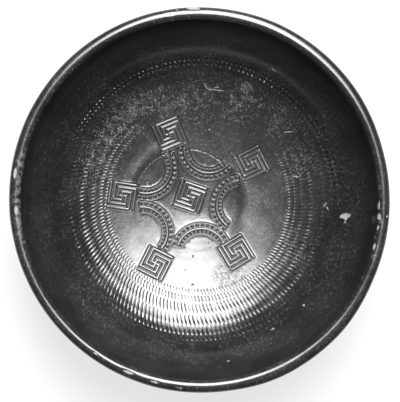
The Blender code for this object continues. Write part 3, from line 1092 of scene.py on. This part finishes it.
def scuff_masks(nodes, place, scuff, broad, medium):
    """Scratched and hazy gloss: a web of hairlines, a haze, and small specks."""
    patchy = nodes.times(nodes.ramp(medium, 0.38, 0.62), nodes.ramp(broad, 0.35, 0.62, 0.35, 1.0))
    hairs = nodes.larger(*(hairlines(nodes, place, scale, width) for scale, width in HAIRLINES))
    worn = nodes.times(nodes.ramp(patchy, 0.0, 0.6, 0.25, 1.0), scuff)
    cells = nodes.add("ShaderNodeTexVoronoi", {"Vector": place, "Scale": SPECK_SCALE})
    dots = nodes.ramp(cells.outputs["Distance"], 0.10, 0.22, 1.0, 0.0)
    chance = nodes.add("ShaderNodeSeparateColor", {"Color": cells.outputs["Color"]}).outputs[0]
    chosen = nodes.math("GREATER_THAN", nodes.plus(chance, scuff), SPECK_CHANCE)
    return {
        "flecks": nodes.times(hairs, worn),
        "haze": nodes.times(patchy, scuff),
        "specks": nodes.times(dots, chosen),
    }


def drawn_masks(nodes, place, fine):
    """Marks with places of their own: scratches and clusters of specks, dark spots, and the matt patch."""
    drawn = wavering(nodes, place, WAVER_SCALE, WAVER_REACH)
    scratches = nodes.times(spots(nodes, drawn, SCRATCHES), nodes.ramp(fine, 0.30, 0.55, 0.35, 1.0))
    near = spots(nodes, drawn, [(x, y, 0.0, size, size) for x, y, size in CLUSTERS])
    cluster = nodes.times(near, nodes.ramp(fine, 0.53, 0.64, 0.0, 0.7))
    mottles = nodes.ramp(nodes.noise(place, MOTTLE_SCALE, 3.0), 0.46, 0.58)
    return {
        "scratches": nodes.larger(scratches, cluster),
        "dark": spots(nodes, drawn, DARK_SPOTS),
        "matt": nodes.times(spot(nodes, drawn, *MATT_PATCH), mottles),
    }


def worn_masks(nodes, medium, fine):
    """Gloss rubbed thin along the lip, and bare clay with ragged edges in the chips."""
    wear = nodes.attribute("lip_wear")
    rubbed = nodes.plus(wear, around(nodes, medium, 1.6))
    rubbed = nodes.plus(rubbed, around(nodes, fine, 1.2))
    ragged = nodes.plus(nodes.attribute("chip"), around(nodes, medium, 0.9))
    ragged = nodes.plus(ragged, around(nodes, fine, 0.7))
    return {
        "rubbed": nodes.times(nodes.ramp(rubbed, 0.52, 0.72), nodes.ramp(wear, 0.02, 0.15)),
        "clay": nodes.ramp(ragged, 0.12, 0.24),
    }


def colour_of_wear_and_painted_relief_light(nodes, masks, broad, crest):
    def covered(colour, mask, cover, level):
        return nodes.mix(nodes.times(masks[mask], cover), colour, grey(level))

    colour = nodes.mix(nodes.ramp(broad, 0.3, 0.7), grey(GLOSS_DEEP), grey(GLOSS_THIN))
    colour = covered(colour, *HAZE_LAYER)
    # Painted highlight: a stamp's crests are lighter; painted shade with dirt: its grooves are darker
    colour = nodes.mix(nodes.ramp(crest, 0.2, 0.95, 0.0, 0.7), colour, grey(CREST_PAINTED_HIGHLIGHT_GREY))
    colour = nodes.mix(nodes.ramp(crest, -1.0, -0.3, 0.8, 0.0), colour, grey(GROOVE_PAINTED_SHADE_AND_DIRT_GREY))
    for layer in WORN_LAYERS:
        colour = covered(colour, *layer)
    colour = nodes.mix(masks["clay"], colour, grey(CLAY_GREY, CLAY_WARMTH))
    return nodes.mix(masks["dark"], colour, grey(DARK_SPOT_GREY))


def worn_roughness(nodes, masks, broad, crest):
    rough = nodes.ramp(broad, 0.3, 0.7, *GLOSS_ROUGHNESS)
    rough = nodes.plus(rough, nodes.ramp(crest, -1.0, -0.2, 0.14, 0.0))
    for mask, amount in ROUGHER:
        rough = nodes.plus(rough, nodes.times(masks[mask], amount))
    for mask, least in ROUGH_AT_LEAST:
        rough = nodes.larger(rough, nodes.times(masks[mask], least))
    return rough


def worn_bump(nodes, masks, fine):
    height = nodes.times(fine, 0.25)
    for mask, depth in SUNK:
        height = nodes.math("SUBTRACT", height, nodes.times(masks[mask], depth))
    bump = nodes.add("ShaderNodeBump", {"Height": height, "Strength": 0.5, "Distance": BUMP_DEPTH})
    return bump.outputs["Normal"]


def black_gloss():
    """Worn black gloss: scuffed and scratched, dull where the lip is rubbed, pale clay in the chips, with a
    painted highlight on the stamps' crests and painted shade with dirt in their grooves.
    """
    nodes = Nodes("black_gloss_worn_with_painted_relief_light")
    place = nodes.add("ShaderNodeTexCoord").outputs["Object"]
    scuff = nodes.attribute("scuff")
    crest = nodes.attribute("crest")
    broad = nodes.noise(place, BROAD_SCALE, 3.0)
    medium = nodes.noise(place, MEDIUM_SCALE, 3.0)
    fine = nodes.noise(place, FINE_SCALE, 2.0)
    masks = scuff_masks(nodes, place, scuff, broad, medium)
    masks.update(drawn_masks(nodes, place, fine))
    masks.update(worn_masks(nodes, medium, fine))
    nodes.feed(nodes.shader.inputs["Base Color"], colour_of_wear_and_painted_relief_light(nodes, masks, broad, crest))
    nodes.feed(nodes.shader.inputs["Roughness"], worn_roughness(nodes, masks, broad, crest))
    nodes.feed(nodes.shader.inputs["Normal"], worn_bump(nodes, masks, fine))
    nodes.shader.inputs["IOR"].default_value = GLOSS_IOR
    return nodes.material


# Stage, light and camera

FLOOR_SIZE = 6.0

# Light panels: distance to the right, distance back, width, depth, radiance
PANEL_HEIGHT = 1.30
PANELS = {
    "panel_middle": (0.085, 0.89, 0.82, 1.56, 30.0),
    "panel_edge": (0.12, 0.98, 1.36, 1.84, 8.0),
}

# Sky: its strength low down and overhead, and between which heights of a direction it changes
SKY_LEVELS = (0.08, 0.60)
SKY_RISE = (0.50, 1.00)

# The white paper that the bowl stands on
PAPER_GREY = 0.12
PAPER_GLOW = 0.74
PAPER_ROUGHNESS = 0.9
PAPER_SHINE = 0.2

# Camera: metres at the rim for each of the photo's pixels, and where it looks
CAMERA_DISTANCE = 1.0
CAMERA_LEFT = 0.0135
SENSOR = 36.0
PHOTO_LONG_SIDE = 402
RIM_SCALE = 0.0004424
AIM_RIGHT = 0.00016
AIM_DOWN = 0.00046


def make_floor():
    mesh = bpy.data.meshes.new("floor")
    half = FLOOR_SIZE / 2
    square = [(-half, -half, 0.0), (half, -half, 0.0), (half, half, 0.0), (-half, half, 0.0)]
    mesh.from_pydata(square, [], [(0, 1, 2, 3)])
    floor = placed("floor", mesh)
    nodes = Nodes("pale_floor")
    looks = {"Base Color": grey(PAPER_GREY), "Roughness": PAPER_ROUGHNESS, "Specular IOR Level": PAPER_SHINE}
    looks.update({"Emission Color": grey(1.0), "Emission Strength": PAPER_GLOW})
    for name, value in looks.items():
        nodes.shader.inputs[name].default_value = value
    mesh.materials.append(nodes.material)


def make_light():
    """A broad soft light above and behind the bowl, brightest in its middle, and a sky, dim low down."""
    for name, (right, back, width, depth, radiance) in PANELS.items():
        light = bpy.data.lights.new(name, "AREA")
        light.shape = "ELLIPSE"
        light.size = width
        light.size_y = depth
        light.energy = radiance * pi * pi / 4 * width * depth
        panel = placed(name, light)
        panel.location = (right, back, PANEL_HEIGHT)
        panel.visible_camera = False
    world = bpy.data.worlds.new("sky")
    world.use_nodes = True
    tree = world.node_tree
    toward = tree.nodes.new("ShaderNodeTexCoord")
    parts = tree.nodes.new("ShaderNodeSeparateXYZ")
    level = tree.nodes.new("ShaderNodeMapRange")
    level.inputs["From Min"].default_value, level.inputs["From Max"].default_value = SKY_RISE
    level.inputs["To Min"].default_value, level.inputs["To Max"].default_value = SKY_LEVELS
    tree.links.new(toward.outputs["Generated"], parts.inputs["Vector"])
    tree.links.new(parts.outputs["Z"], level.inputs["Value"])
    tree.links.new(level.outputs["Result"], tree.nodes["Background"].inputs["Strength"])
    tree.nodes["Background"].inputs["Color"].default_value = grey(1.0)
    bpy.context.scene.world = world


def make_camera():
    """Straight down from a metre above the rim, a little to the left of the axis."""
    data = bpy.data.cameras.new("camera")
    data.sensor_width = SENSOR
    data.lens = SENSOR * CAMERA_DISTANCE / (PHOTO_LONG_SIDE * RIM_SCALE)
    data.clip_end = 20.0
    camera = placed("camera", data)
    place = Vector((-CAMERA_LEFT, 0.0, LIP_LEVEL + CAMERA_DISTANCE))
    back = (place - Vector((AIM_RIGHT, -AIM_DOWN, LIP_LEVEL))).normalized()
    right = Vector((0.0, 1.0, 0.0)).cross(back).normalized()
    up = back.cross(right)
    camera.matrix_world = Matrix.Translation(place) @ Matrix((right, up, back)).transposed().to_4x4()
    bpy.context.scene.camera = camera


bpy.context.scene.view_settings.view_transform = "Standard"
make_floor()
make_light()
make_camera()
make_bowl()
